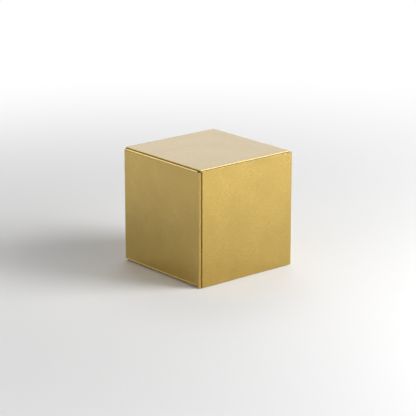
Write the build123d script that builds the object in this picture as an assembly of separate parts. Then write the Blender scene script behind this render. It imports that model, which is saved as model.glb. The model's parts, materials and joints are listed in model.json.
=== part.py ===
from build123d import *
import os
from math import asin, cos, degrees, radians, sin, tan

# Straight tuck end carton: four walls in a sleeve, glued at the front left corner,
# with a hinged lid, a hinged base, and tuck and dust flaps at both ends.
# Millimetres and degrees. Origin at the middle of the footprint, front towards -Y, lid up +Z.

# Closed box, outside
box_width = 50.8
box_depth = 50.8
box_height = 50.8

# Board and the folds pressed into it
board = 0.45
fold_inner_radius = 0.1
crease_relief = 0.3

# How the lid and the base sit on the walls
panel_side_inset = 1.0
lid_lift = 0.15
base_lift = 0.15
front_edge_drop = 0.6

# Tuck flaps
tuck_length = 12.5
tuck_clearance = 0.3
tuck_end_inset = 0.4
tuck_corner_radius = 8.0
tuck_spare_lean = 1.5

# Dust flaps
dust_flap_gap = 9.0
dust_back_taper = 30.0
dust_front_taper = 15.0
dust_shoulder = 4.0
dust_back_clearance = 1.0
dust_front_clearance = 0.5
dust_corner_radius = 3.0

# Glued seam
glue_flap_width = 12.0
glue_flap_end_inset = 5.0
glue_flap_end_taper = 15.0
glue_film = 0.05
glue_margin = 2.0
seam_gap = 0.65

# Values worked out from the sizes above
half_board = board / 2
fold_outer_radius = fold_inner_radius + board
crease_setback = half_board + crease_relief
right_x = box_width / 2
back_y = box_depth / 2
panel_half_width = right_x - panel_side_inset

# Fold lines of the lid and of the base, front to back
hinge_y = back_y - half_board
tuck_y = -back_y + board + tuck_clearance + half_board
hinge_to_tuck = hinge_y - tuck_y

# A tuck flap leans in just enough for its tip to clear the front wall as the panel swings,
# and that swing carries its inside face this far back past the dust flaps.
tuck_lean = asin(tuck_length / (2 * hinge_to_tuck)) + radians(tuck_spare_lean)
tuck_sweep = hinge_to_tuck * (1 - cos(tuck_lean))

# Dust flap fold lines, left and right, and the ends of each flap
dust_x = right_x - half_board
dust_reach = dust_x - dust_flap_gap / 2
dust_back_y = back_y - board - dust_back_clearance
dust_front_y = tuck_y + half_board + tuck_sweep + dust_front_clearance

# The left wall's corner stands one board and the glue behind the front wall's face
seam_face_y = -back_y + board + glue_film
seam_x = -right_x + fold_outer_radius

# Heights of the front wall's cut edge, of the dust flaps' fold lines, and of the side walls' ends
front_top_z = box_height - front_edge_drop
top_dust_z = box_height - board - lid_lift - half_board
bottom_dust_z = board + base_lift + half_board
side_top_z = top_dust_z - crease_setback
side_bottom_z = bottom_dust_z + crease_setback


def block(low, high):
    """A rectangular panel between two opposite corners."""
    middle = (Vector(*low) + Vector(*high)) / 2
    size = Vector(*high) - Vector(*low)
    return Pos(middle) * Box(size.X, size.Y, size.Z)


def corner_fold(x, y, turn, low_z, high_z):
    """A quarter round fold of board about an upright line, facing +X and +Y before its turn."""
    section = Circle(fold_outer_radius) - Circle(fold_inner_radius)
    section &= Rectangle(fold_outer_radius, fold_outer_radius, align=(Align.MIN, Align.MIN))
    fold = extrude(section, amount=high_z - low_z)
    return Pos(x, y, low_z) * Rot(0, 0, turn) * fold


def crossways_crease(y, z):
    """The pressed bead of the lid's or the base's crease, which runs from side to side."""
    return Pos(0, y, z) * Rot(0, 90, 0) * Cylinder(half_board, 2 * panel_half_width)


def lengthways_crease(x, z):
    """The pressed bead of a dust flap's crease, which runs from front to back."""
    middle_y = (dust_front_y + dust_back_y) / 2
    return Pos(x, middle_y, z) * Rot(90, 0, 0) * Cylinder(half_board, dust_back_y - dust_front_y)


def walls():
    """The four walls. Front and left meet at the seam, the rest at corner folds."""
    fold_x = right_x - fold_outer_radius
    fold_y = back_y - fold_outer_radius
    hinge_end = half_board + crease_setback
    return {
        "front_wall": block(
            (seam_x + seam_gap, -back_y, 0),
            (fold_x, -back_y + board, front_top_z),
        ),
        "back_wall": block(
            (-fold_x, back_y - board, hinge_end),
            (fold_x, back_y, box_height - hinge_end),
        ),
        "left_wall": block(
            (-right_x, seam_face_y + fold_outer_radius, side_bottom_z),
            (-right_x + board, fold_y, side_top_z),
        ),
        "right_wall": block(
            (right_x - board, -fold_y, side_bottom_z),
            (right_x, fold_y, side_top_z),
        ),
        "front_right_fold": corner_fold(fold_x, -fold_y, 270, 0, front_top_z),
        "back_right_fold": corner_fold(fold_x, fold_y, 0, side_bottom_z, side_top_z),
        "back_left_fold": corner_fold(-fold_x, fold_y, 90, side_bottom_z, side_top_z),
    }


def seam():
    """The left wall's fold, the glue flap behind the front wall, and the glue between them."""
    end_cut = glue_flap_width * tan(radians(glue_flap_end_taper))
    flap_end_x = seam_x + glue_flap_width
    low_z = glue_flap_end_inset
    high_z = box_height - glue_flap_end_inset
    outline = Polyline(
        (seam_x, low_z),
        (flap_end_x, low_z + end_cut),
        (flap_end_x, high_z - end_cut),
        (seam_x, high_z),
        close=True,
    )
    flap = extrude(Plane.XZ.offset(-seam_face_y - board) * make_face(outline), amount=board)
    glue = block(
        (seam_x + glue_margin, seam_face_y - glue_film, low_z + end_cut),
        (flap_end_x - glue_margin, seam_face_y, high_z - end_cut),
    )
    return {
        "seam_fold": corner_fold(
            seam_x, seam_face_y + fold_outer_radius, 180, base_lift, side_top_z
        ),
        "glue_flap": flap,
        "seam_glue": glue,
    }


def tuck_outline():
    """A tuck flap laid flat: X across, Y down from its crease, with round corners at the tip."""
    half_width = panel_half_width - tuck_end_inset
    sheet = make_face(
        Polyline(
            (-half_width, crease_setback),
            (half_width, crease_setback),
            (half_width, tuck_length),
            (-half_width, tuck_length),
            close=True,
        )
    )
    return fillet(sheet.vertices().group_by(Axis.Y)[-1], tuck_corner_radius)


def dust_outline():
    """The right dust flap seen from above: tapered behind, with a straight shoulder in front."""
    root_x = dust_x - crease_setback
    tip_x = dust_x - dust_reach
    shoulder_x = root_x - dust_shoulder
    tip_back_y = dust_back_y - (root_x - tip_x) * tan(radians(dust_back_taper))
    tip_front_y = dust_front_y + (shoulder_x - tip_x) * tan(radians(dust_front_taper))
    sheet = make_face(
        Polyline(
            (root_x, dust_back_y),
            (tip_x, tip_back_y),
            (tip_x, tip_front_y),
            (shoulder_x, dust_front_y),
            (root_x, dust_front_y),
            close=True,
        )
    )
    return fillet(sheet.vertices().group_by(Axis.X)[0], dust_corner_radius)


def end_panel(fold_z):
    """The lid or the base, from its hinge crease to its tuck crease."""
    return block(
        (-panel_half_width, tuck_y + crease_setback, fold_z - half_board),
        (panel_half_width, hinge_y - crease_setback, fold_z + half_board),
    )


def closure(panel, end, outer_z, inward, dust_z):
    """One end of the box.

    panel names the hinged panel and end its flaps, outer_z is the panel's outside face,
    inward is -1 at the top and 1 at the bottom, and dust_z is the dust flaps' fold line.
    """
    fold_z = outer_z + inward * half_board
    flap_way = Vector(0, sin(tuck_lean), inward * cos(tuck_lean))
    tuck_plane = Plane((0, tuck_y, fold_z), x_dir=(1, 0, 0), z_dir=Vector(1, 0, 0).cross(flap_way))
    right_flap = extrude(Pos(0, 0, dust_z) * dust_outline(), amount=half_board, both=True)
    return {
        f"{panel}_panel": end_panel(fold_z),
        f"{panel}_tuck_flap": extrude(tuck_plane * tuck_outline(), amount=half_board, both=True),
        f"{panel}_hinge_crease": crossways_crease(hinge_y, fold_z),
        f"{panel}_tuck_crease": crossways_crease(tuck_y, fold_z),
        f"{end}_right_dust_flap": right_flap,
        f"{end}_left_dust_flap": mirror(right_flap, about=Plane.YZ),
        f"{end}_right_dust_crease": lengthways_crease(dust_x, dust_z),
        f"{end}_left_dust_crease": lengthways_crease(-dust_x, dust_z),
    }


parts = {
    **walls(),
    **seam(),
    **closure("lid", "top", box_height, -1, top_dust_z),
    **closure("base", "bottom", 0, 1, bottom_dust_z),
}

os.makedirs("parts", exist_ok=True)
for node, shape in parts.items():
    export_step(shape, f"parts/{node}.step")

print(f"tuck flaps lean in {degrees(tuck_lean):.2f} degrees")
print(f"hinge fold line at y {hinge_y:.4f}, tuck fold line at y {tuck_y:.4f}")
print(f"dust fold lines at x {dust_x:.4f}, z {bottom_dust_z:.4f} and {top_dust_z:.4f}")
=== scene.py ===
"""Gold favor box: a folding carton of creased foil board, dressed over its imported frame."""

import json
import logging
import math
from collections.abc import Callable
from dataclasses import dataclass, field
from enum import Enum

import bmesh
import bpy
from mathutils import Matrix, Vector


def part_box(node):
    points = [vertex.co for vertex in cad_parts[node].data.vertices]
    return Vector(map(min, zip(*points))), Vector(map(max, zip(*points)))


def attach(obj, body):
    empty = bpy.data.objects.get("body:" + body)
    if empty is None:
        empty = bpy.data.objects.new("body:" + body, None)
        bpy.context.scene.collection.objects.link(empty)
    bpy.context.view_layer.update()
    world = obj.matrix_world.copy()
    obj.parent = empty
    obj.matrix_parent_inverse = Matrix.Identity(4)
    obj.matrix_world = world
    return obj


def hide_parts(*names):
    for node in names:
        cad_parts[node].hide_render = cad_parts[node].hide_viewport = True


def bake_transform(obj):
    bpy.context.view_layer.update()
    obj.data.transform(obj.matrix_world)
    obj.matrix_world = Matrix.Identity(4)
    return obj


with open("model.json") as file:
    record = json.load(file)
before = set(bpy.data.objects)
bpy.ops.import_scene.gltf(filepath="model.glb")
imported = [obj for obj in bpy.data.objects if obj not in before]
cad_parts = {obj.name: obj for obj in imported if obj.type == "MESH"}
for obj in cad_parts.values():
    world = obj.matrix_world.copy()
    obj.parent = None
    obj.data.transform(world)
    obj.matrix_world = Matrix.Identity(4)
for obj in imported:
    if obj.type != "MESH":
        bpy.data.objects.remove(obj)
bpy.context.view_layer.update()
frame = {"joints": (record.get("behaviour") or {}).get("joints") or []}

MM = 0.001
X, Y, Z = Vector((1, 0, 0)), Vector((0, 1, 0)), Vector((0, 0, 1))
RIGHT_ANGLE = math.pi / 2

Colour = tuple[float, float, float]
Node = bpy.types.Node
Socket = bpy.types.NodeSocket
Sockets = bpy.types.bpy_prop_collection
Tree = bpy.types.NodeTree
Material = bpy.types.Material
Piece = bpy.types.Object

WHITE: Colour = (1.0, 1.0, 1.0)
# The mask of the fold crests, where the foil is scuffed and where a painted highlight lightens the
# gold.
FOLD_MASK = "fold_rub"

log = logging.getLogger("favor_box")


class End(Enum):
    """The two ends of the box that open."""

    TOP = 1
    BOTTOM = -1

    @property
    def panel(self) -> str:
        """The name of the hinged panel at this end."""
        return "lid" if self is End.TOP else "base"

    @property
    def flaps(self) -> str:
        """The word that this end's dust flaps begin with."""
        return "top" if self is End.TOP else "bottom"

    @property
    def outward(self) -> Vector:
        """The way out of the box at this end."""
        return Z * self.value


class Side(Enum):
    """The two walls that carry dust flaps."""

    LEFT = -1
    RIGHT = 1

    @property
    def word(self) -> str:
        """The side's name within node names."""
        return self.name.lower()

    @property
    def outward(self) -> Vector:
        """The way out of the box on this side."""
        return X * self.value


class Slot(Enum):
    """The record's material slots."""

    BOARD = "gold_board"
    CREASE = "gold_crease"
    GLUE = "glue"


@dataclass(frozen=True)
class Board:
    """The carton board and how it folds and cuts, in metres."""

    thickness: float = 0.45 * MM
    fold_inner_radius: float = 0.10 * MM
    crease_setback: float = 0.525 * MM
    corner_leg: float = 0.10 * MM
    cut_round: float = 0.13 * MM
    cut_round_steps: int = 3
    end_reach: float = 0.40 * MM
    fold_steps: int = 10

    @property
    def half(self) -> float:
        """Half the thickness."""
        return self.thickness / 2

    @property
    def fold_middle_radius(self) -> float:
        """The radius of a fold at the middle of the board."""
        return self.fold_inner_radius + self.half


class NodeWriter:
    """Adds nodes to one node tree and links them."""

    def __init__(self, tree: Tree) -> None:
        """Keeps the tree that nodes are added to."""
        self.tree = tree

    @property
    def given(self) -> Sockets:
        """What a node group is given, by name."""
        return self.tree.nodes["In"].outputs

    @property
    def out(self) -> Sockets:
        """What a node group puts out, by name."""
        return self.tree.nodes["Out"].inputs

    def feed(self, socket: Socket, value: object) -> None:
        """Links an input to an output, or sets it to a plain value.

        Args:
            socket: the input.
            value: an output socket, or a number, vector, colour, name or material.
        """
        if isinstance(value, Socket):
            self.tree.links.new(value, socket)
        else:
            socket.default_value = value

    def add(self, kind: str, inputs: dict | None = None, **settings: object) -> Node:
        """Adds one node.

        Args:
            kind: the node's type.
            inputs: what to feed to its inputs, by name or number.
            settings: the node's own properties.

        Returns:
            The node.
        """
        node = self.tree.nodes.new(kind)
        for name, value in settings.items():
            setattr(node, name, value)
        for key, value in (inputs or {}).items():
            self.feed(node.inputs[key], value)
        return node

    def math(self, operation: str, *values: object) -> Socket:
        """The result of a Math node, fed with some values in order."""
        return self.add("ShaderNodeMath", dict(enumerate(values)), operation=operation).outputs[0]

    def plus(self, first: object, second: object) -> Socket:
        """The sum of two values."""
        return self.math("ADD", first, second)

    def minus(self, first: object, second: object) -> Socket:
        """The first value less the second."""
        return self.math("SUBTRACT", first, second)

    def times(self, first: object, second: object) -> Socket:
        """The product of two values."""
        return self.math("MULTIPLY", first, second)

    def weigh(self, first: object, share: float, second: object) -> Socket:
        """The first value's share, plus the second's, which makes it up to 1."""
        return self.plus(self.times(first, share), self.times(second, 1.0 - share))

    def ramp(
        self,
        value: object,
        low: object,
        high: object,
        to_low: object = 0.0,
        to_high: object = 1.0,
        **settings: object,
    ) -> Socket:
        """Adds a Map Range node that holds its result between its ends.

        Args:
            value: what is mapped.
            low: the value that gives to_low.
            high: the value that gives to_high.
            to_low: the result at low.
            to_high: the result at high.
            settings: the node's own properties.

        Returns:
            The result.
        """
        ends = dict(enumerate((value, low, high, to_low, to_high)))
        return self.add("ShaderNodeMapRange", ends, **settings).outputs[0]

    def between(self, share: object, at_none: object, at_full: object) -> Socket:
        """The value that lies a share of the way from one value to another."""
        return self.ramp(share, 0.0, 1.0, at_none, at_full)

    def noise(self, place: Socket, scale: object, **inputs: float) -> Socket:
        """A noise texture, with its scale per metre and its other inputs by name."""
        fed = {"Vector": place, "Scale": scale, **inputs}
        return self.add("ShaderNodeTexNoise", fed).outputs[0]

    def blend(self, share: object, first: object, second: object) -> Socket:
        """Adds a Mix node for colours.

        Args:
            share: the share of the second colour.
            first: the colour at 0.
            second: the colour at 1.

        Returns:
            The mixed colour.
        """
        node = self.add("ShaderNodeMix", {0: share}, data_type="RGBA")
        colours = [s for s in node.inputs if s.type == "RGBA"]
        for socket, colour in zip(colours, (first, second)):
            self.feed(socket, colour)
        return next(s for s in node.outputs if s.type == "RGBA")


def put(name: str, data: bpy.types.ID) -> Piece:
    """Puts a new object in the scene.

    Args:
        name: its name.
        data: its mesh, lamp or camera.

    Returns:
        The object.
    """
    made = bpy.data.objects.new(name, data)
    bpy.context.scene.collection.objects.link(made)
    return made


def rgba(colour: Colour) -> tuple[float, float, float, float]:
    """A colour with full alpha, as shader sockets take it."""
    return (*colour, 1.0)


def new_group(name: str, kind: str, inputs: dict[str, str], outputs: dict[str, str]) -> NodeWriter:
    """Makes an empty node group with its sockets.

    Args:
        name: the group's name.
        kind: the tree's type.
        inputs: the socket type of each named input.
        outputs: the socket type of each named output.

    Returns:
        The writer of the group, which has one Group Input and one Group Output node.
    """
    tree = bpy.data.node_groups.new(name, kind)
    for way, sockets in (("INPUT", inputs), ("OUTPUT", outputs)):
        for socket, socket_type in sockets.items():
            tree.interface.new_socket(name=socket, in_out=way, socket_type=socket_type)
    tree.nodes.new("NodeGroupInput").name = "In"
    tree.nodes.new("NodeGroupOutput").name = "Out"
    return NodeWriter(tree)


class BoardEffects:
    """Shader node groups that the finishes share."""

    FIBRE = {"Detail": 3.0, "Roughness": 0.6}
    FIBRE_SHARE = 0.65
    FIBRE_SPAN = (0.32, 0.68)
    SPECK = {"Detail": 1.0}
    SPECK_FINENESS = 2.7
    CLOUD = {"Detail": 2.0, "Distortion": 0.4}
    CLOUD_SPAN = (0.3, 0.7)
    CHIP = {"Detail": 4.0, "Roughness": 0.7}
    CHIP_SPAN = (0.46, 0.66)

    def __init__(self) -> None:
        """Builds the groups."""
        self.grain = self._grain()
        self.drift = self._drift()
        self.rub = self._rub()

    @staticmethod
    def _start(name: str, inputs: tuple[str, ...], outputs: tuple[str, ...]) -> NodeWriter:
        """Starts a group that takes a place and some numbers, and puts out numbers.

        Args:
            name: the group's name.
            inputs: the names of the numbers that it takes.
            outputs: the names of those that it puts out.

        Returns:
            The writer of its nodes.
        """
        number = "NodeSocketFloat"
        taken = {"Vector": "NodeSocketVector", **dict.fromkeys(inputs, number)}
        return new_group(name, "ShaderNodeTree", taken, dict.fromkeys(outputs, number))

    def _grain(self) -> Tree:
        """Paper fibres: a fine noise drawn out along X, and its height for a bump.

        Returns:
            The group.
        """
        w = self._start("paper_fibres", ("Fineness", "Stretch"), ("Tone", "Height"))
        place, fineness = w.given["Vector"], w.given["Fineness"]
        x, y, z = w.add("ShaderNodeSeparateXYZ", {0: place}).outputs
        stretched = {0: w.times(x, w.given["Stretch"]), 1: y, 2: z}
        drawn = w.add("ShaderNodeCombineXYZ", stretched).outputs[0]
        along = w.noise(drawn, fineness, **self.FIBRE)
        specks = w.noise(place, w.times(fineness, self.SPECK_FINENESS), **self.SPECK)
        both = w.weigh(along, self.FIBRE_SHARE, specks)
        w.feed(w.out["Tone"], w.ramp(both, *self.FIBRE_SPAN))
        w.feed(w.out["Height"], both)
        return w.tree

    def _drift(self) -> Tree:
        """Slow, cloudy change of tone across a sheet.

        Returns:
            The group.
        """
        w = self._start("tone_drift", ("Size",), ("Tone",))
        cloud = w.noise(w.given["Vector"], w.math("DIVIDE", 1.0, w.given["Size"]), **self.CLOUD)
        w.feed(w.out["Tone"], w.ramp(cloud, *self.CLOUD_SPAN))
        return w.tree

    def _rub(self) -> Tree:
        """Broken specks where the foil on a fold is scuffed, from a mask on the mesh; they also
        lighten the fold's crest as a painted highlight.

        Returns:
            The group.
        """
        w = self._start("rubbed_specks", ("Mask", "Fineness"), ("Wear",))
        chips = w.noise(w.given["Vector"], w.given["Fineness"], **self.CHIP)
        w.feed(w.out["Wear"], w.times(w.ramp(chips, *self.CHIP_SPAN), w.given["Mask"]))
        return w.tree


@dataclass(frozen=True)
class Fibres:
    """A paper surface: fibres per metre, their relief in metres, and clouds of tone."""

    fineness: float
    stretch: float
    depth: float
    strength: float
    cloud_size: float
    share: float


@dataclass(frozen=True)
class Spots:
    """Spots per metre, and how far from its middle a spot is whole and where it ends."""

    fineness: float
    whole: float
    rim: float
    strength: float = 1.0


class Finish:
    """A material under construction, with the board's shared effects at hand."""

    def __init__(self, name: str, effects: BoardEffects) -> None:
        """Starts a material with one Principled BSDF.

        Args:
            name: the material's name.
            effects: the shared node groups.
        """
        self.material = bpy.data.materials.new(name)
        self.material.use_nodes = True
        self.writer = NodeWriter(self.material.node_tree)
        self.effects = effects
        self.shader = self.material.node_tree.nodes["Principled BSDF"]
        self.place = self.writer.add("ShaderNodeTexCoord").outputs["Object"]

    def group(self, tree: Tree, **inputs: object) -> Sockets:
        """Places a shared group, fed with the piece's own coordinates.

        Args:
            tree: the group.
            inputs: its other inputs by name.

        Returns:
            What the group puts out.
        """
        node = self.writer.add("ShaderNodeGroup", node_tree=tree)
        for name, value in {"Vector": self.place, **inputs}.items():
            self.writer.feed(node.inputs[name], value)
        return node.outputs

    def cloud(self, size: float) -> Socket:
        """Clouds of tone of about this size, in metres."""
        return self.group(self.effects.drift, Size=size)["Tone"]

    def paper(self, fibres: Fibres) -> tuple[Socket, Socket]:
        """Lays fibres and clouds over the surface, with the fibres' relief.

        Args:
            fibres: how they look.

        Returns:
            The tone of both together, and the fibres' own.
        """
        grain = self.effects.grain
        laid = self.group(grain, Fineness=fibres.fineness, Stretch=fibres.stretch)
        self.relief(laid["Height"], fibres.depth, fibres.strength)
        both = self.writer.weigh(laid["Tone"], fibres.share, self.cloud(fibres.cloud_size))
        return both, laid["Tone"]

    def spots(self, spots: Spots) -> Socket:
        """Scatters spots over the surface.

        Args:
            spots: how they look.

        Returns:
            Their mask.
        """
        fed = {"Vector": self.place, "Scale": spots.fineness}
        away = self.writer.add("ShaderNodeTexVoronoi", fed).outputs["Distance"]
        return self.writer.ramp(away, spots.whole, spots.rim, spots.strength, 0.0)

    def mask(self, attribute: str) -> Socket:
        """A number that the mesh carries at each point."""
        return self.writer.add("ShaderNodeAttribute", attribute_name=attribute).outputs["Fac"]

    def set(self, **inputs: object) -> None:
        """Feeds the shader's inputs, whose names are written with _ for a space."""
        for name, value in inputs.items():
            self.writer.feed(self.shader.inputs[name.replace("_", " ")], value)

    def relief(self, height: Socket, depth: float, strength: float) -> None:
        """Bumps the surface.

        Args:
            height: the pattern.
            depth: how deep the pattern is, in metres.
            strength: the share of it that shows.
        """
        fed = {"Height": height, "Distance": depth, "Strength": strength}
        self.set(Normal=self.writer.add("ShaderNodeBump", fed).outputs[0])


@dataclass(frozen=True)
class FoilFinish:
    """The outside: board coated with satin gold, lighter on the fold crests, which is partly
    scuffed foil and partly a painted highlight.
    """

    deep: Colour = (0.455, 0.303, 0.054)
    light: Colour = (0.585, 0.394, 0.078)
    # Lighter gold on the fold crests: partly scuffed foil, partly a painted highlight.
    worn: Colour = (0.74, 0.59, 0.30)
    metallic: float = 0.93
    worn_metallic: float = 0.8184
    smooth: float = 0.26
    rough: float = 0.31
    worn_rough: float = 0.08
    ior: float = 1.5
    coat: float = 1.0
    thin_coat: float = 0.9
    coat_roughness: float = 0.16
    coat_ior: float = 1.5
    wear_fineness: float = 1900.0
    wear_share: float = 0.55
    fibres: Fibres = Fibres(
        fineness=1300.0,
        stretch=0.45,
        depth=0.008 * MM,
        strength=0.5,
        cloud_size=11 * MM,
        share=0.65,
    )

    def make(self, effects: BoardEffects) -> Material:
        """Builds the material.

        Args:
            effects: the shared node groups.

        Returns:
            The material.
        """
        f = Finish("satin_gold_foil", effects)
        w = f.writer
        tone, fibre = f.paper(self.fibres)
        rubbed_and_highlight = f.group(effects.rub, Mask=f.mask(FOLD_MASK), Fineness=self.wear_fineness)
        wear_and_highlight = rubbed_and_highlight["Wear"]
        gold = w.blend(tone, rgba(self.deep), rgba(self.light))
        roughness = w.between(tone, self.rough, self.smooth)
        f.set(
            # The lighter gold mixed in along the folds is partly a painted highlight.
            Base_Color=w.blend(w.times(wear_and_highlight, self.wear_share), gold, rgba(self.worn)),
            Roughness=w.plus(roughness, w.times(wear_and_highlight, self.worn_rough)),
            Metallic=w.between(wear_and_highlight, self.metallic, self.worn_metallic),
            IOR=self.ior,
            Coat_Weight=w.between(fibre, self.thin_coat, self.coat),
            Coat_Roughness=self.coat_roughness,
            Coat_IOR=self.coat_ior,
        )
        return f.material


@dataclass(frozen=True)
class PulpFinish:
    """Uncoated board: its pulp where the die has cut it, or its inside with fine flecks."""

    name: str
    shade: Colour
    pale: Colour
    roughness: float
    shade_roughness: float
    fibres: Fibres
    flecks: Spots | None = None
    fleck: Colour = (0.42, 0.35, 0.26)

    def make(self, effects: BoardEffects) -> Material:
        """Builds the material.

        Args:
            effects: the shared node groups.

        Returns:
            The material.
        """
        f = Finish(self.name, effects)
        w = f.writer
        tone, _ = f.paper(self.fibres)
        board = w.blend(tone, rgba(self.shade), rgba(self.pale))
        if self.flecks:
            board = w.blend(f.spots(self.flecks), board, rgba(self.fleck))
        f.set(Base_Color=board, Roughness=w.between(tone, self.shade_roughness, self.roughness))
        return f.material


CUT_CORE = PulpFinish(
    "cut_board_core",
    shade=(0.66, 0.58, 0.43),
    pale=(0.88, 0.82, 0.68),
    roughness=0.86,
    shade_roughness=0.92,
    fibres=Fibres(
        fineness=5200.0, stretch=0.2, depth=0.02 * MM, strength=0.8, cloud_size=2.5 * MM, share=0.7
    ),
)
LINER = PulpFinish(
    "board_liner",
    shade=(0.73, 0.71, 0.665),
    pale=(0.86, 0.845, 0.81),
    roughness=0.82,
    shade_roughness=0.90,
    fibres=Fibres(
        fineness=1500.0, stretch=0.3, depth=0.012 * MM, strength=0.6, cloud_size=7 * MM, share=0.5
    ),
    flecks=Spots(fineness=620.0, whole=0.07, rim=0.15, strength=0.55),
)


@dataclass(frozen=True)
class GlueFinish:
    """Dried carton glue: pale, a little glossy, with small bubbles."""

    thin: Colour = (0.74, 0.69, 0.56)
    thick: Colour = (0.86, 0.82, 0.70)
    roughness: float = 0.38
    bubble_roughness: float = 0.58
    bubbles: Spots = Spots(fineness=1400.0, whole=0.12, rim=0.3)
    cloud_size: float = 1.8 * MM
    depth: float = 0.01 * MM
    strength: float = 0.6

    def make(self, effects: BoardEffects) -> Material:
        """Builds the material.

        Args:
            effects: the shared node groups.

        Returns:
            The material.
        """
        f = Finish("dried_glue", effects)
        w = f.writer
        cloud = f.cloud(self.cloud_size)
        f.set(
            Base_Color=w.blend(cloud, rgba(self.thin), rgba(self.thick)),
            Roughness=w.between(f.spots(self.bubbles), self.roughness, self.bubble_roughness),
        )
        f.relief(cloud, self.depth, self.strength)
        return f.material


@dataclass(frozen=True)
class BoardSkins:
    """The three materials of a piece of board: outside, cut edge and inside."""

    foil: Material
    core: Material
    liner: Material


class SheetTree:
    """Geometry nodes that turn a thin sheet into board with foil, core and liner."""

    SKIN_INPUTS = {
        "Board": "NodeSocketFloat",
        **dict.fromkeys(("Foil", "Core", "Liner"), "NodeSocketMaterial"),
    }
    WELD = 1e-7

    def __init__(self, name: str, sizes: dict[str, str]) -> None:
        """Starts the tree.

        Args:
            name: the tree's name.
            sizes: the socket type of each input besides the board's own.
        """
        inputs = {**sizes, **self.SKIN_INPUTS}
        shape = {"Geometry": "NodeSocketGeometry"}
        self.writer = new_group(name, "GeometryNodeTree", inputs, shape)

    def hold_way(self, sheet: Socket, way: Socket) -> Sockets:
        """Notes on each point the way in which the board grows thicker.

        Args:
            sheet: the sheet before it is bent.
            way: the way at each point.

        Returns:
            The sheet as Geometry and what is noted as Way.
        """
        held = self.writer.add("GeometryNodeCaptureAttribute")
        held.capture_items.new("VECTOR", "Way")
        self.writer.feed(held.inputs["Geometry"], sheet)
        self.writer.feed(held.inputs["Way"], way)
        return held.outputs

    def paint(self, shape: Socket, skin: str, **selection: Socket) -> Socket:
        """The shape with one of the board's skins, on all of it or on a Selection."""
        fed = {"Geometry": shape, "Material": self.writer.given[skin], **selection}
        return self.writer.add("GeometryNodeSetMaterial", fed).outputs[0]

    def thicken(self, sheet: Socket, way: Socket) -> None:
        """Gives the sheet, which is the inside face, its thickness and its three materials.

        Args:
            sheet: the inside face, facing outwards.
            way: the way out at each point.
        """
        w = self.writer
        lined = self.paint(w.add("GeometryNodeFlipFaces", {"Mesh": sheet}).outputs[0], "Liner")
        flat = {"Mesh": sheet, "Offset Scale": 0.0, "Individual": False}
        raised = w.add("GeometryNodeExtrudeMesh", flat, mode="FACES").outputs
        growth = {"Vector": way, "Scale": w.given["Board"]}
        rise = w.add("ShaderNodeVectorMath", growth, operation="SCALE").outputs["Vector"]
        moved = {"Geometry": raised["Mesh"], "Selection": raised["Top"], "Offset": rise}
        lifted = w.add("GeometryNodeSetPosition", moved).outputs[0]
        edged = self.paint(lifted, "Core", Selection=raised["Side"])
        joined = w.add("GeometryNodeJoinGeometry")
        for part in (edged, lined):
            w.feed(joined.inputs[0], part)
        near = {"Geometry": joined.outputs[0], "Distance": self.WELD}
        welded = w.add("GeometryNodeMergeByDistance", near).outputs[0]
        real = w.add("GeometryNodeRealizeInstances", {"Geometry": welded}).outputs[0]
        w.feed(w.out["Geometry"], self.paint(real, "Foil", Selection=raised["Top"]))

    def run(self, piece: Piece, board: Board, skins: BoardSkins, **sizes: object) -> None:
        """Makes the piece's plain mesh with this tree.

        Args:
            piece: the object, which keeps no modifier.
            board: the board's sizes.
            skins: the board's materials.
            sizes: the tree's other inputs, by name with _ for a space.
        """
        values = {
            "Board": board.thickness,
            "Foil": skins.foil,
            "Core": skins.core,
            "Liner": skins.liner,
            **{name.replace("_", " "): value for name, value in sizes.items()},
        }
        modifier = piece.modifiers.new("board", "NODES")
        modifier.node_group = self.writer.tree
        for item in self.writer.tree.interface.items_tree:
            if item.in_out == "INPUT" and item.name in values:
                modifier[item.identifier] = values[item.name]
        bpy.context.view_layer.update()
        depsgraph = bpy.context.evaluated_depsgraph_get()
        shaped = piece.evaluated_get(depsgraph)
        mesh = bpy.data.meshes.new_from_object(shaped, depsgraph=depsgraph)
        piece.modifiers.clear()
        flat, piece.data = piece.data, mesh
        bpy.data.meshes.remove(flat)
        mesh.name = piece.name


class PanelTree(SheetTree):
    """Thickens a flat outline."""

    def __init__(self) -> None:
        """Builds the tree."""
        super().__init__("board_panel", {"Geometry": "NodeSocketGeometry"})
        normal = self.writer.add("GeometryNodeInputNormal").outputs[0]
        held = self.hold_way(self.writer.given["Geometry"], normal)
        self.thicken(held["Geometry"], held["Way"])


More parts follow.
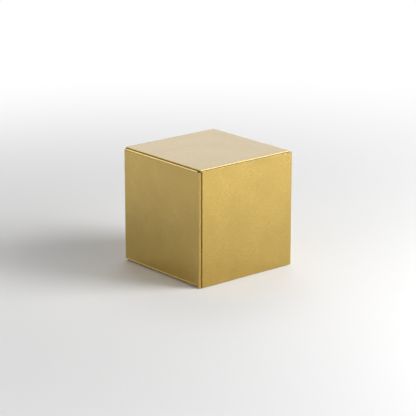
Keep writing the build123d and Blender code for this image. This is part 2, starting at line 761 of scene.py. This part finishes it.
class FoldTree(SheetTree):
    """Bends a strip of board round a fold line.

    The strip's first leg runs along +X, its fold line along Y, and its foil faces +Z. Its grid
    has a column at the far end of each leg and Steps + 1 columns round the fold between them,
    and four rows: one at each end and one End Reach from it.
    """

    LENGTHS = ("Length", "Inner Radius", "Bend", "First Leg", "Second Leg", "End Reach")
    ROWS = 4
    LEG_COLUMNS = 2.0
    RUB_AT_MIDDLE = 4.0

    def __init__(self) -> None:
        """Builds the tree."""
        sizes = {**dict.fromkeys(self.LENGTHS, "NodeSocketFloat"), "Steps": "NodeSocketInt"}
        super().__init__("board_fold", sizes)
        w, given = self.writer, self.writer.given
        length, radius = given["Length"], given["Inner Radius"]
        last = w.plus(given["Steps"], self.LEG_COLUMNS)
        counts = {"Vertices X": w.plus(last, 1.0), "Vertices Y": self.ROWS}
        grid = w.add("GeometryNodeMeshGrid", {"Size X": 1.0, "Size Y": length, **counts})
        place = w.add("GeometryNodeInputPosition").outputs[0]
        x, y, _ = w.add("ShaderNodeSeparateXYZ", {0: place}).outputs
        row_gap = w.math("DIVIDE", length, self.ROWS - 1.0)
        inner = w.math("LESS_THAN", w.math("ABSOLUTE", y), row_gap)
        end = w.minus(w.math("DIVIDE", length, 2.0), w.times(inner, given["End Reach"]))
        row = w.times(w.math("SIGN", y), end)
        column = w.math("ROUND", w.times(w.plus(x, 0.5), last))
        share = w.ramp(column, 1.0, w.minus(last, 1.0))
        angle = w.times(share, given["Bend"])
        sine, cosine = w.math("SINE", angle), w.math("COSINE", angle)
        starts = w.times(w.math("LESS_THAN", column, 0.5), given["First Leg"])
        at_last = w.math("GREATER_THAN", column, w.minus(last, 0.5))
        ends = w.times(at_last, given["Second Leg"])
        middle = w.plus(radius, w.times(given["Board"], 0.5))
        along = w.plus(w.minus(w.times(radius, sine), starts), w.times(ends, cosine))
        height = w.minus(w.minus(w.times(radius, cosine), middle), w.times(ends, sine))
        # Highest at the fold's middle, where the foil is scuffed and a painted highlight lightens
        # it.
        rub = w.times(w.times(share, w.minus(1.0, share)), self.RUB_AT_MIDDLE)
        mark = {"Geometry": grid.outputs["Mesh"], "Name": FOLD_MASK, "Value": rub}
        kind = {"data_type": "FLOAT", "domain": "POINT"}
        marked = w.add("GeometryNodeStoreNamedAttribute", mark, **kind).outputs[0]
        way = w.add("ShaderNodeCombineXYZ", {0: sine, 2: cosine}).outputs[0]
        held = self.hold_way(marked, way)
        bent = w.add("ShaderNodeCombineXYZ", {0: along, 1: row, 2: height}).outputs[0]
        moved = {"Geometry": held["Geometry"], "Position": bent}
        strip = w.add("GeometryNodeSetPosition", moved).outputs[0]
        self.thicken(strip, held["Way"])


@dataclass(frozen=True)
class Corner:
    """One corner of a panel's outline, at u across and v up, cut to a radius."""

    u: float
    v: float
    radius: float = 0.0

    @property
    def at(self) -> Vector:
        """The corner as a point."""
        return Vector((self.u, self.v))


def rectangle(width: float, height: float, radius: float = 0.0) -> list[Corner]:
    """The corners of a rectangle, anticlockwise from u = v = 0."""
    places = ((0, 0), (width, 0), (width, height), (0, height))
    return [Corner(u, v, radius) for u, v in places]


@dataclass
class Outline:
    """A panel's cut shape.

    Its corners stand in order, and folded names the pairs of corners whose edge runs on into
    a fold. A run longer than long_run has a point corner_reach from either end, so that its
    rounded edge shades evenly between them.
    """

    corners: list[Corner]
    folded: list[tuple[int, int]] = field(default_factory=list)
    arc_steps: int = 10
    corner_reach: float = 0.5 * MM
    long_run: float = 2.0 * MM
    on_edge: float = 0.002 * MM

    def points(self) -> list[tuple[float, float]]:
        """The outline as points, anticlockwise, with its radii and its runs' points drawn.

        Returns:
            The points.
        """
        drawn = self._drawn()
        found = []
        for a, b in zip(drawn, drawn[1:] + drawn[:1]):
            start, run = Vector(a), Vector(b) - Vector(a)
            found.append(a)
            if run.length > self.long_run:
                step = run.normalized() * self.corner_reach
                found += [tuple(start + step), tuple(start + run - step)]
        return found

    def _drawn(self) -> list[tuple[float, float]]:
        """The corners and the arcs at them, anticlockwise.

        Returns:
            The points.
        """
        found = []
        for i, corner in enumerate(self.corners):
            if not corner.radius:
                found.append(tuple(corner.at))
                continue
            one = (self.corners[i - 1].at - corner.at).normalized()
            two = (self.corners[(i + 1) % len(self.corners)].at - corner.at).normalized()
            half = one.angle(two) / 2
            inward = (one + two).normalized()
            centre = corner.at + inward * corner.radius / math.sin(half)
            turn = 1.0 if one.x * two.y - one.y * two.x < 0 else -1.0
            for k in range(self.arc_steps + 1):
                angle = turn * (RIGHT_ANGLE - half) * (2 * k / self.arc_steps - 1)
                spoke = Matrix.Rotation(angle, 2) @ -inward
                found.append(tuple(centre + spoke * corner.radius))
        area = sum(a[0] * b[1] - a[1] * b[0] for a, b in zip(found, found[1:] + found[:1]))
        return found if area > 0 else found[::-1]

    def folds_on(self, u: float, v: float) -> bool:
        """Whether the edge through a point of the outline runs on into a fold.

        Args:
            u: the point, across.
            v: the point, up.

        Returns:
            True on a folded edge.
        """
        at = Vector((u, v))
        for i, j in self.folded:
            a, b = self.corners[i].at, self.corners[j].at
            run = b - a
            t = (at - a).dot(run) / run.length_squared
            if 0 < t < 1 and (a + run * t - at).length < self.on_edge:
                return True
        return False


@dataclass(frozen=True)
class Plane:
    """A panel's plane: a point of its inside face, and the ways across and up it."""

    origin: Vector
    across: Vector
    up: Vector

    def at(self, u: float, v: float) -> Vector:
        """The point of the inside face at u across and v up."""
        return self.origin + self.across * u + self.up * v

    def flat(self, point: Vector) -> tuple[float, float]:
        """The u and v of a point."""
        offset = point - self.origin
        return offset.dot(self.across), offset.dot(self.up)


@dataclass(frozen=True)
class Crease:
    """A fold at rest.

    Its corner is the middle of the line where the two panels' middle planes meet. The first
    panel runs along start to that line, with its foil facing outward, and the board turns
    away from outward by bend, in radians.
    """

    corner: Vector
    start: Vector
    outward: Vector
    bend: float = RIGHT_ANGLE

    @property
    def line(self) -> Vector:
        """The way along the fold line."""
        return self.outward.cross(self.start)


class BoardShop:
    """Cuts panels and bends folds from one kind of board."""

    END_SLACK = 0.001 * MM
    FACING = 0.9
    ROUND_PROFILE = 0.5

    def __init__(self, board: Board, skins: BoardSkins) -> None:
        """Builds the node trees.

        Args:
            board: the board's sizes.
            skins: its materials.
        """
        self.board = board
        self.skins = skins
        self.panel_tree = PanelTree()
        self.fold_tree = FoldTree()

    def panel(
        self, name: str, plane: Plane, outline: Outline, cut_round: float | None = None
    ) -> Piece:
        """Cuts a flat panel.

        Args:
            name: the piece's name.
            plane: where it lies.
            outline: its shape.
            cut_round: how far its cut edges are rounded, if not as the board's are.

        Returns:
            The piece.
        """
        mesh = bpy.data.meshes.new(name)
        points = [plane.at(u, v) for u, v in outline.points()]
        mesh.from_pydata(points, [], [list(range(len(points)))])
        piece = put(name, mesh)
        self.panel_tree.run(piece, self.board, self.skins)
        self._round_cuts(piece, lambda point: outline.folds_on(*plane.flat(point)), cut_round)
        return piece

    def fold(
        self, name: str, crease: Crease, length: float, setback: float, run_on: float = 0.0
    ) -> Piece:
        """Bends a strip of board.

        Args:
            name: the piece's name.
            crease: where and how far it bends.
            length: the strip's length along the line.
            setback: how far from the line each panel ends.
            run_on: how much further the strip runs along the second panel.

        Returns:
            The piece.
        """
        board, corner, line = self.board, crease.corner, crease.line
        tangent = board.fold_middle_radius * math.tan(crease.bend / 2)
        piece = put(name, bpy.data.meshes.new(name))
        self.fold_tree.run(
            piece,
            board,
            self.skins,
            Length=length,
            Inner_Radius=board.fold_inner_radius,
            Bend=crease.bend,
            First_Leg=setback - tangent,
            Second_Leg=setback - tangent + run_on,
            End_Reach=board.end_reach,
            Steps=board.fold_steps,
        )
        turned = Matrix((crease.start, line, crease.outward)).transposed().to_4x4()
        piece.data.transform(Matrix.Translation(corner - crease.start * tangent) @ turned)
        reach = length / 2 - self.END_SLACK
        self._round_cuts(piece, lambda point: abs((point - corner).dot(line)) < reach)
        _, core = self._layers(piece)
        for face in piece.data.polygons:
            face.use_smooth = face.material_index != core
        return piece

    def draw_foil(self, piece: Piece, *ways: Vector) -> None:
        """Covers the cut edges that face some ways with foil, which the die drags over them.

        Args:
            piece: the piece of board.
            ways: the ways that those edges face.
        """
        foil, core = self._layers(piece)
        for face in piece.data.polygons:
            faces = any(face.normal.dot(way) > self.FACING for way in ways)
            if face.material_index == core and faces:
                face.material_index = foil

    def _layers(self, piece: Piece) -> tuple[int, int]:
        """The numbers of the foil and the core among a piece's materials."""
        find = piece.data.materials.find
        return find(self.skins.foil.name), find(self.skins.core.name)

    def _round_cuts(
        self, piece: Piece, folds_on: Callable[[Vector], bool], cut_round: float | None = None
    ) -> None:
        """Rounds the foil over each cut edge, as the die's pressure leaves it.

        Args:
            piece: the piece of board.
            folds_on: tells from a point of an edge whether the board runs on there.
            cut_round: how far it is rounded, if not as the board's own edges are.
        """
        foil, core = self._layers(piece)
        shape = bmesh.new()
        shape.from_mesh(piece.data)
        rim = [
            edge
            for edge in shape.edges
            if {face.material_index for face in edge.link_faces} == {foil, core}
            and not folds_on((edge.verts[0].co + edge.verts[1].co) / 2)
        ]
        made = bmesh.ops.bevel(
            shape,
            geom=rim,
            offset=cut_round or self.board.cut_round,
            segments=self.board.cut_round_steps,
            profile=self.ROUND_PROFILE,
            affect="EDGES",
            clamp_overlap=True,
            material=foil,
        )
        for face in made["faces"]:
            face.smooth = True
        shape.to_mesh(piece.data)
        shape.free()


def dress(piece: Piece, node: str) -> None:
    """Hides the CAD node that a piece stands for and logs which piece stands for it.

    Args:
        piece: the piece, already riding on its body or baked in place.
        node: the CAD node that it replaces.
    """
    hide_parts(node)
    log.info("%s stands for %s", piece.name, node)


def dress_rigid(piece: Piece, body: str, node: str) -> None:
    """Lets a piece ride on one body and dresses it."""
    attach(piece, body)
    dress(piece, node)


@dataclass(frozen=True)
class Ear:
    """How far a wall's corner runs past the wall's ends, below and above."""

    low: float
    high: float


def wall_outline(
    width: float, height: float, root: list[float], slit: float, ears: list[Ear]
) -> Outline:
    """A wall whose flap's fold takes the middle of its ends and leaves an ear at each corner.

    Args:
        width: the wall's width.
        height: its height between the folds' strips.
        root: where the flap's fold begins and ends across the wall.
        slit: the cut's width between a fold and an ear.
        ears: the ears at u = 0 and at u = width.

    Returns:
        The outline, which runs on into folds at the roots and at both sides.
    """
    a, b = root
    inner, outer = a - slit, b + slit
    first, second = ears
    places = (
        (0, -first.low), (inner, -first.low), (inner, 0), (a, 0),
        (b, 0), (outer, 0), (outer, -second.low), (width, -second.low),
        (width, height + second.high), (outer, height + second.high), (outer, height), (b, height),
        (a, height), (inner, height), (inner, height + first.high), (0, height + first.high),
    )
    return Outline([Corner(u, v) for u, v in places], [(3, 4), (7, 8), (11, 12), (15, 0)])


@dataclass
class Sleeve:
    """The four walls, the upright folds between them and the glued seam."""

    shop: BoardShop
    glue: Material
    body: str = "carton"
    slit: float = 0.12 * MM
    ear_rise: float = 0.30 * MM
    glue_flap_end_cut: float = 3.215 * MM
    glue_flap_round: float = 1.2 * MM
    glue_end_share: float = 0.45
    glue_edge_share: float = 0.4
    front_cut_round: float = 0.17 * MM
    front_foot: float = 0.25 * MM
    seam_run_on: float = 1.2 * MM

    def build(self) -> None:
        """Builds and dresses every piece of the sleeve."""
        self._front_wall()
        self._wall("right_wall", "top_right_dust_crease", Y, "front_right_fold", "back_right_fold")
        self._wall("left_wall", "top_left_dust_crease", -Y, "back_left_fold", "seam_fold")
        self._wall("back_wall", "lid_hinge_crease", -X, "back_right_fold", "back_left_fold")
        self._upright_fold("front_right_fold", X, -Y)
        self._upright_fold("back_right_fold", Y, X)
        self._upright_fold("back_left_fold", -X, Y)
        self._upright_fold("seam_fold", -Y, -X, self.seam_run_on)
        self._glue_flap()
        self._glue_film()

    def _span(self, fold: str) -> tuple[float, float]:
        """How low and how high an upright fold's strip runs.

        Args:
            fold: the fold's node.

        Returns:
            The heights of the strip's ends.
        """
        low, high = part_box(fold)
        down = {"front_right_fold": -self.front_foot, "seam_fold": 0.0}.get(fold, self.ear_rise)
        up = 0.0 if fold == "front_right_fold" else self.ear_rise
        return low.z - down, high.z + up

    def _front_wall(self) -> None:
        """The wall that the lid tucks behind, cut at its top, bottom and left."""
        low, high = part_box("front_wall")
        width = high.x - low.x - self.shop.board.corner_leg
        height = high.z - low.z - self.front_foot
        outline = Outline(rectangle(width, height), [(1, 2)])
        plane = Plane(Vector((low.x, high.y, low.z + self.front_foot)), X, Z)
        piece = self.shop.panel("front_wall_board", plane, outline, self.front_cut_round)
        self.shop.draw_foil(piece, -X)
        dress_rigid(piece, self.body, "front_wall")

    def _wall(self, node: str, root: str, across: Vector, *folds: str) -> None:
        """A wall between two upright folds, with ears beside the folds of its flaps.

        Args:
            node: the wall's node.
            root: the node of its upper flap's crease.
            across: the way across it from its first upright fold to its second.
            folds: the nodes of those two.
        """
        leg = self.shop.board.corner_leg
        low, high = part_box(node)
        lean = across + across.cross(Z)
        x, y = low.x if lean.x > 0 else high.x, low.y if lean.y > 0 else high.y
        plane = Plane(Vector((x, y, low.z)) + across * leg, across, Z)
        ends = sorted(plane.flat(corner)[0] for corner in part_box(root))
        spans = [self._span(fold) for fold in folds]
        ears = [Ear(low.z - bottom, top - high.z) for bottom, top in spans]
        width = abs((high - low).dot(across)) - 2 * leg
        outline = wall_outline(width, high.z - low.z, ends, self.slit, ears)
        piece = self.shop.panel(f"{node}_board", plane, outline)
        dress_rigid(piece, self.body, node)

    def _upright_fold(
        self, node: str, start: Vector, outward: Vector, run_on: float = 0.0
    ) -> None:
        """Bends one upright fold.

        Args:
            node: the CAD node that it stands for.
            start: the way along the first wall to the fold.
            outward: the way that the first wall faces.
            run_on: how much further it runs along the second wall.
        """
        board = self.shop.board
        low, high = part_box(node)
        bottom, top = self._span(node)
        inset = start + outward
        outer = Vector((high.x if inset.x > 0 else low.x, high.y if inset.y > 0 else low.y, 0))
        corner = outer - inset * board.half
        corner.z = (bottom + top) / 2
        length = top - bottom
        setback = board.fold_middle_radius + board.corner_leg
        crease = Crease(corner, start, outward)
        piece = self.shop.fold(f"{node}_strip", crease, length, setback, run_on)
        dress_rigid(piece, self.body, node)

    def _glue_flap(self) -> None:
        """The left wall's flap behind the front wall."""
        leg = self.shop.board.corner_leg + self.seam_run_on
        low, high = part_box("glue_flap")
        width, height, cut = high.x - low.x, high.z - low.z, self.glue_flap_end_cut
        slope = cut / width * leg
        corners = [
            Corner(leg, slope),
            Corner(width, cut, self.glue_flap_round),
            Corner(width, height - cut, self.glue_flap_round),
            Corner(leg, height - slope),
        ]
        plane = Plane(Vector((low.x, high.y, low.z)), X, Z)
        piece = self.shop.panel("glue_flap_board", plane, Outline(corners, [(3, 0)]))
        dress_rigid(piece, self.body, "glue_flap")

    def _glue_film(self) -> None:
        """A pressed line of glue, rounded at its ends."""
        low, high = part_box("seam_glue")
        width, height, film = high.x - low.x, high.z - low.z, high.y - low.y
        outline = Outline(rectangle(width, height, width * self.glue_end_share))
        sheet = Board(thickness=film, cut_round=film * self.glue_edge_share)
        shop = BoardShop(sheet, BoardSkins(self.glue, self.glue, self.glue))
        plane = Plane(Vector((low.x, high.y, low.z)), X, Z)
        piece = shop.panel("seam_glue_film", plane, outline)
        dress_rigid(piece, self.body, "seam_glue")


@dataclass
class Closure:
    """One end of the box: a hinged panel with its tuck flap, over two dust flaps.

    Angles are in degrees.
    """

    shop: BoardShop
    end: End
    tuck_length: float = 12.5 * MM
    tuck_spare_lean: float = 1.5
    tuck_half_width: float = 24.0 * MM
    tuck_round: float = 8.0 * MM
    dust_shoulder: float = 4.0 * MM
    dust_back_taper: float = 30.0
    dust_front_taper: float = 15.0
    dust_round: float = 3.0 * MM
    blend_share: float = 0.97

    def build(self) -> None:
        """Builds and dresses every piece of this end."""
        name, out = self.end.panel, self.end.outward
        tuck_bend = RIGHT_ANGLE + self.lean
        self._panel()
        self._fold(f"{name}_hinge", f"{name}_hinge_crease", ("carton", name), out, Y)
        tuck_bodies = (name, f"{name}_tuck")
        self._fold(f"{name}_tuck_fold", f"{name}_tuck_crease", tuck_bodies, -Y, out, tuck_bend)
        self._tuck_flap()
        for side in Side:
            dust = f"{self.end.flaps}_{side.word}_dust"
            self._dust_flap(dust, side)
            self._fold(f"{dust}_fold", f"{dust}_crease", ("carton", dust), out, side.outward)

    @staticmethod
    def _axis(joint: str) -> Vector:
        """A point on a joint's axis."""
        found = next(j for j in frame["joints"] if j["name"] == joint)
        return Vector(found["pos_m"])

    @property
    def lean(self) -> float:
        """How far the tuck flap leans into the box, in radians.

        Returns:
            The lean at which its tip just swings clear of the front wall, and a little more.
        """
        name = self.end.panel
        reach = (self._axis(f"{name}_hinge") - self._axis(f"{name}_tuck_fold")).length
        return math.asin(self.tuck_length / (2 * reach)) + math.radians(self.tuck_spare_lean)

    def _flat(self, low: Vector, high: Vector) -> Plane:
        """The plane of a level panel whose foil faces out of this end.

        Args:
            low: the lowest corner of the panel's box.
            high: its highest corner.

        Returns:
            The plane.
        """
        if self.end is End.TOP:
            return Plane(Vector((low.x, low.y, low.z)), X, Y)
        return Plane(Vector((low.x, high.y, high.z)), X, -Y)

    def _panel(self) -> None:
        """The lid or the base itself."""
        name = self.end.panel
        low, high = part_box(f"{name}_panel")
        outline = Outline(rectangle(high.x - low.x, high.y - low.y), [(0, 1), (2, 3)])
        piece = self.shop.panel(f"{name}_board", self._flat(low, high), outline)
        self.shop.draw_foil(piece, X, -X)
        dress_rigid(piece, name, f"{name}_panel")

    def _fold(
        self,
        joint: str,
        node: str,
        bodies: tuple[str, str],
        start: Vector,
        outward: Vector,
        bend: float = RIGHT_ANGLE,
    ) -> None:
        """Bends the strip of a crease that moves, in place of the CAD model's bead.

        Args:
            joint: the joint whose axis is its fold line.
            node: the crease's node.
            bodies: the bodies of the panels that it joins; not used.
            start: the way along the first panel to the line.
            outward: the way that the first panel's foil faces.
            bend: its angle at rest, in radians.
        """
        axis, line = self._axis(joint), outward.cross(start)
        low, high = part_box(node)
        corner = axis + line * ((low + high) / 2 - axis).dot(line)
        length = abs((high - low).dot(line))
        crease = Crease(corner, start, outward, bend)
        setback = self.shop.board.crease_setback
        piece = self.shop.fold(f"{node}_strip", crease, length, setback)
        self.shop.draw_foil(piece, line, -line)
        self._bend_between(piece)
        dress(piece, node)

    def _bend_between(self, piece: Piece) -> None:
        """Bakes a fold strip's placement into its mesh, between the two panels that it joins.

        Args:
            piece: the strip.
        """
        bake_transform(piece)

    def _tuck_flap(self) -> None:
        """The flap that slides behind the front wall, round at its tip's corners."""
        name, board, half = self.end.panel, self.shop.board, self.tuck_half_width
        up = Z * math.cos(self.lean) - Y * (math.sin(self.lean) * self.end.value)
        origin = self._axis(f"{name}_tuck_fold") - X.cross(up) * board.half
        root, tip = (-self.end.value * v for v in (board.crease_setback, self.tuck_length))
        corners = [
            Corner(-half, tip, self.tuck_round),
            Corner(half, tip, self.tuck_round),
            Corner(half, root),
            Corner(-half, root),
        ]
        outline = Outline(corners, [(2, 3)])
        piece = self.shop.panel(f"{name}_tuck_board", Plane(origin, X, up), outline)
        dress_rigid(piece, f"{name}_tuck", f"{name}_tuck_flap")

    def _dust_flap(self, name: str, side: Side) -> None:
        """A dust flap, tapered behind and with a straight shoulder in front.

        Args:
            name: its body's name.
            side: the side that it folds in from.
        """
        low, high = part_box(f"{name}_flap")
        plane = self._flat(low, high)
        root, tip = (high.x, low.x) if side is Side.RIGHT else (low.x, high.x)
        reach = high.x - low.x
        shoulder = root + (tip - root) / reach * self.dust_shoulder
        front_run = reach - self.dust_shoulder
        tip_back = high.y - reach * math.tan(math.radians(self.dust_back_taper))
        tip_front = low.y + front_run * math.tan(math.radians(self.dust_front_taper))
        places = (
            (root, high.y, 0.0),
            (tip, tip_back, self.dust_round),
            (tip, tip_front, self.dust_round),
            (shoulder, low.y, 0.0),
            (root, low.y, 0.0),
        )
        level = plane.origin.z
        corners = [Corner(*plane.flat(Vector((x, y, level))), radius) for x, y, radius in places]
        piece = self.shop.panel(f"{name}_board", plane, Outline(corners, [(4, 0)]))
        dress_rigid(piece, name, f"{name}_flap")


def way_to(azimuth: float, elevation: float) -> Vector:
    """The way from the box to a viewpoint.

    Args:
        azimuth: degrees round from the front, positive to the right.
        elevation: degrees up from level.

    Returns:
        A vector of length 1.
    """
    a, e = math.radians(azimuth), math.radians(elevation)
    return Vector((math.sin(a) * math.cos(e), -math.cos(a) * math.cos(e), math.sin(e)))


@dataclass(frozen=True)
class Lamp:
    """A soft lamp that lights the scene or, if mirrored, a strip that only shows in the foil.

    Angles are in degrees, lengths in metres and power in watts.
    """

    name: str
    azimuth: float
    elevation: float
    distance: float
    width: float
    height: float
    power: float
    upright: bool = False
    mirrored: bool = False
    aim: tuple[float, float, float] = (0.0, 0.0, 25 * MM)

    def add(self) -> None:
        """Hangs the lamp."""
        light = bpy.data.lights.new(self.name, "AREA")
        light.shape = "RECTANGLE"
        light.size, light.size_y = self.width, self.height
        light.energy = self.power
        lamp = put(self.name, light)
        back = way_to(self.azimuth, self.elevation)
        lamp.location = Vector(self.aim) + back * self.distance
        facing = way_to(self.azimuth, 0.0) if self.upright else back
        lamp.rotation_euler = facing.to_track_quat("Z", "Y").to_euler()
        lamp.visible_camera = False
        lamp.visible_glossy = self.mirrored
        lamp.visible_diffuse = not self.mirrored


def seen_or_mirrored(w: NodeWriter) -> Socket:
    """Tells what the camera sees, directly or in a reflection, from what lights the scene.

    Args:
        w: the writer of the material's or the world's nodes.

    Returns:
        1 for camera, glossy and transmission rays, 0 for others.
    """
    path = w.add("ShaderNodeLightPath").outputs
    seen = w.math("MAXIMUM", path["Is Camera Ray"], path["Is Transmission Ray"])
    return w.math("MAXIMUM", seen, path["Is Glossy Ray"])


@dataclass
class Studio:
    """The floor, the soft lamps, the pale room and the camera."""

    aim: Vector = field(default_factory=lambda: Vector((0.30, 0.25, 24.42)) * MM)
    azimuth: float = -40.05
    elevation: float = 16.59
    distance: float = 797.9 * MM
    field_of_view: float = 12.75
    sensor: float = 36.0
    clip: tuple[float, float] = (0.05, 20.0)
    floor_size: float = 6.0
    floor_drop: float = 0.02 * MM
    fade_from: float = 0.10
    fade_to: float = 0.38
    floor_colour: Colour = (0.88, 0.88, 0.88)
    floor_roughness: float = 0.9
    floor_specular: float = 0.1
    room_light: float = 0.15
    lamps: tuple[Lamp, ...] = (
        Lamp("key_softbox", 43.0, 29.0, 0.90, 0.50, 0.50, 6.0),
        Lamp("front_softbox", 25.0, 28.0, 0.90, 0.50, 0.50, 1.0),
        Lamp("low_front_card", 30.0, 12.4, 0.280, 0.34, 0.16, 0.58, upright=True),
        Lamp("left_low_softbox", -85.0, 8.0, 0.90, 0.60, 0.20, 1.8),
        Lamp("left_card", -121.0, 15.9, 0.218, 0.14, 0.16, 0.06, upright=True),
        Lamp("right_edge_strip", 58.0, 42.0, 0.90, 0.60, 0.12, 2.4, mirrored=True),
        Lamp("left_edge_strip", -152.0, 33.0, 0.90, 0.60, 0.12, 0.7, mirrored=True),
        Lamp("backdrop_softbox", 140.0, 80.0, 0.60, 0.50, 0.50, 1.8, aim=(0.32, 0.38, 0.0)),
    )

    def build(self) -> None:
        """Sets up the scene round the box."""
        bpy.context.scene.view_settings.view_transform = "Standard"
        self._floor()
        self._room()
        for lamp in self.lamps:
            lamp.add()
        self._camera()

    def _floor(self) -> None:
        """A plain pale floor under the box."""
        mesh = bpy.data.meshes.new("floor")
        half, level = self.floor_size / 2, -self.floor_drop
        signs = ((-1, -1), (1, -1), (1, 1), (-1, 1))
        mesh.from_pydata([(x * half, y * half, level) for x, y in signs], [], [(0, 1, 2, 3)])
        floor = put("floor", mesh)
        material = bpy.data.materials.new("pale_floor")
        material.use_nodes = True
        shader = material.node_tree.nodes["Principled BSDF"]
        shader.inputs["Base Color"].default_value = rgba(self.floor_colour)
        shader.inputs["Roughness"].default_value = self.floor_roughness
        shader.inputs["Specular IOR Level"].default_value = self.floor_specular
        self._fade(material.node_tree)
        mesh.materials.append(material)

    def _fade(self, tree: Tree) -> None:
        """Lets the floor turn white away from the box, where it is seen or mirrored.

        Args:
            tree: the floor material's nodes.
        """
        w = NodeWriter(tree)
        place = w.add("ShaderNodeTexCoord").outputs["Object"]
        away = w.add("ShaderNodeVectorMath", {0: place}, operation="LENGTH").outputs["Value"]
        far = w.ramp(away, self.fade_from, self.fade_to, interpolation_type="SMOOTHSTEP")
        share = w.times(far, seen_or_mirrored(w))
        white = w.add("ShaderNodeEmission", {"Color": rgba(WHITE), "Strength": 1.0}).outputs[0]
        lit = tree.nodes["Principled BSDF"].outputs[0]
        mixed = w.add("ShaderNodeMixShader", {0: share, 1: lit, 2: white})
        w.feed(tree.nodes["Material Output"].inputs["Surface"], mixed.outputs[0])

    def _room(self) -> None:
        """Even light from all round, white where the camera or a reflection sees it."""
        world = bpy.data.worlds.new("room")
        world.use_nodes = True
        bpy.context.scene.world = world
        background = world.node_tree.nodes["Background"].inputs
        background["Color"].default_value = rgba(WHITE)
        w = NodeWriter(world.node_tree)
        w.feed(background["Strength"], w.between(seen_or_mirrored(w), self.room_light, 1.0))

    def _camera(self) -> None:
        """The photograph's viewpoint."""
        data = bpy.data.cameras.new("camera")
        data.sensor_width = self.sensor
        data.lens = self.sensor / 2 / math.tan(math.radians(self.field_of_view) / 2)
        data.clip_start, data.clip_end = self.clip
        camera = put("camera", data)
        back = way_to(self.azimuth, self.elevation)
        camera.location = self.aim + back * self.distance
        camera.rotation_euler = back.to_track_quat("Z", "Y").to_euler()
        bpy.context.scene.camera = camera


def main() -> None:
    """Builds the box and the studio."""
    logging.basicConfig(level=logging.INFO, format="%(message)s")
    effects = BoardEffects()
    skins = BoardSkins(FoilFinish().make(effects), CUT_CORE.make(effects), LINER.make(effects))
    shop = BoardShop(Board(), skins)
    Sleeve(shop, GlueFinish().make(effects)).build()
    for end in End:
        Closure(shop, end).build()
    Studio().build()


if __name__ == "__main__":
    main()
